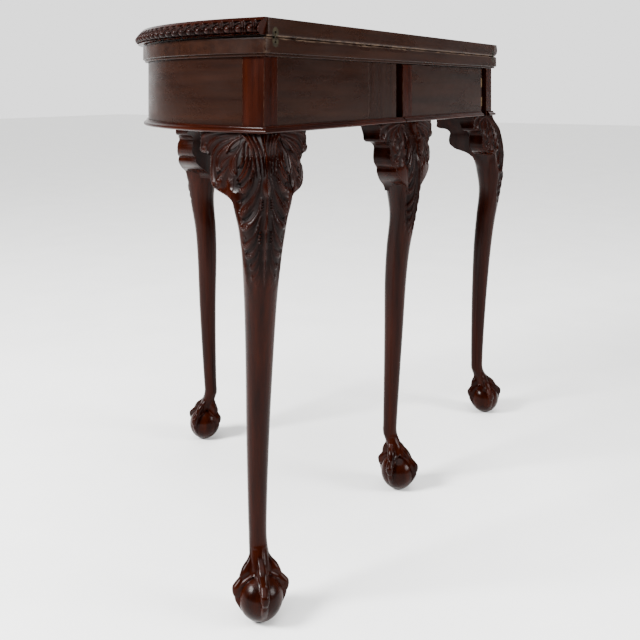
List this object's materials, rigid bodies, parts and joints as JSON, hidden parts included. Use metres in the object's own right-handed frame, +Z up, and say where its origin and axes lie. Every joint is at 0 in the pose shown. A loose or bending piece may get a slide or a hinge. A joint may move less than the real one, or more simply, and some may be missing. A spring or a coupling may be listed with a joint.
{
  "type": "demi-lune card table",
  "caption": "Half-round card table with folding top, swinging gate leg, cabriole legs and claw-and-ball feet.",
  "frame": {"origin": "on the floor, below the middle of the closed table's bounding box", "axes": "+X to the right along the straight back, +Y out of the back, +Z up; the curved front faces -Y"},
  "size_m": [0.8672, 0.4796, 0.75],
  "materials": {
    "mahogany": "satin polish",
    "dark_mahogany": "satin polish",
    "oak": "unpolished",
    "brass": "dulled",
    "steel": "plain",
    "baize": "napped wool"
  },
  "bodies": {
    "frame": {"leg_right_back": "mahogany", "leg_left_back": "mahogany", "leg_front": "mahogany", "ear_right_rear": "mahogany", "ear_right_side": "mahogany", "ear_left_rear": "mahogany", "ear_left_side": "mahogany", "ear_front_right": "mahogany", "ear_front_left": "mahogany", "apron_right": "dark_mahogany", "apron_left": "dark_mahogany", "inner_back_rail": "oak", "outer_back_rail": "dark_mahogany", "stop_block": "dark_mahogany", "knuckle_block": "oak", "knuckle_pin": "steel", "cross_rail": "oak", "corner_block_right": "oak", "corner_block_left": "oak", "moulding_right": "mahogany", "moulding_left": "mahogany", "moulding_back": "mahogany", "moulding_post": "mahogany", "lower_leaf": "dark_mahogany", "lower_baize": "baize", "hinge_plate_lower_right": "brass", "hinge_plate_lower_left": "brass", "hinge_pin_lower_right": "steel", "hinge_pin_lower_left": "steel"},
    "gate": {"gate_rail": "dark_mahogany", "gate_leg": "mahogany", "ear_gate_right": "mahogany", "ear_gate_left": "mahogany", "moulding_gate": "mahogany"},
    "hinge_links": {"hinge_link_right": "brass", "hinge_link_left": "brass"},
    "top_leaf": {"upper_leaf": "dark_mahogany", "gadroon_edge": "mahogany", "upper_baize": "baize", "hinge_plate_upper_right": "brass", "hinge_plate_upper_left": "brass", "hinge_pin_upper_right": "steel", "hinge_pin_upper_left": "steel"}
  },
  "joints": [
    {"name": "gate_hinge", "type": "hinge", "parent": "frame", "child": "gate", "pos_m": [-0.364, 0.19626, 0.65], "axis": [0, 0, 1], "range_deg": [0, 62]},
    {"name": "leaf_hinge_lower", "type": "hinge", "parent": "frame", "child": "hinge_links", "pos_m": [0, 0.21976, 0.7225], "axis": [-1, 0, 0], "range_deg": [0, 90]},
    {"name": "leaf_hinge_upper", "type": "hinge", "parent": "hinge_links", "child": "top_leaf", "pos_m": [0, 0.21976, 0.7295], "axis": [-1, 0, 0], "range_deg": [0, 90]}
  ]
}
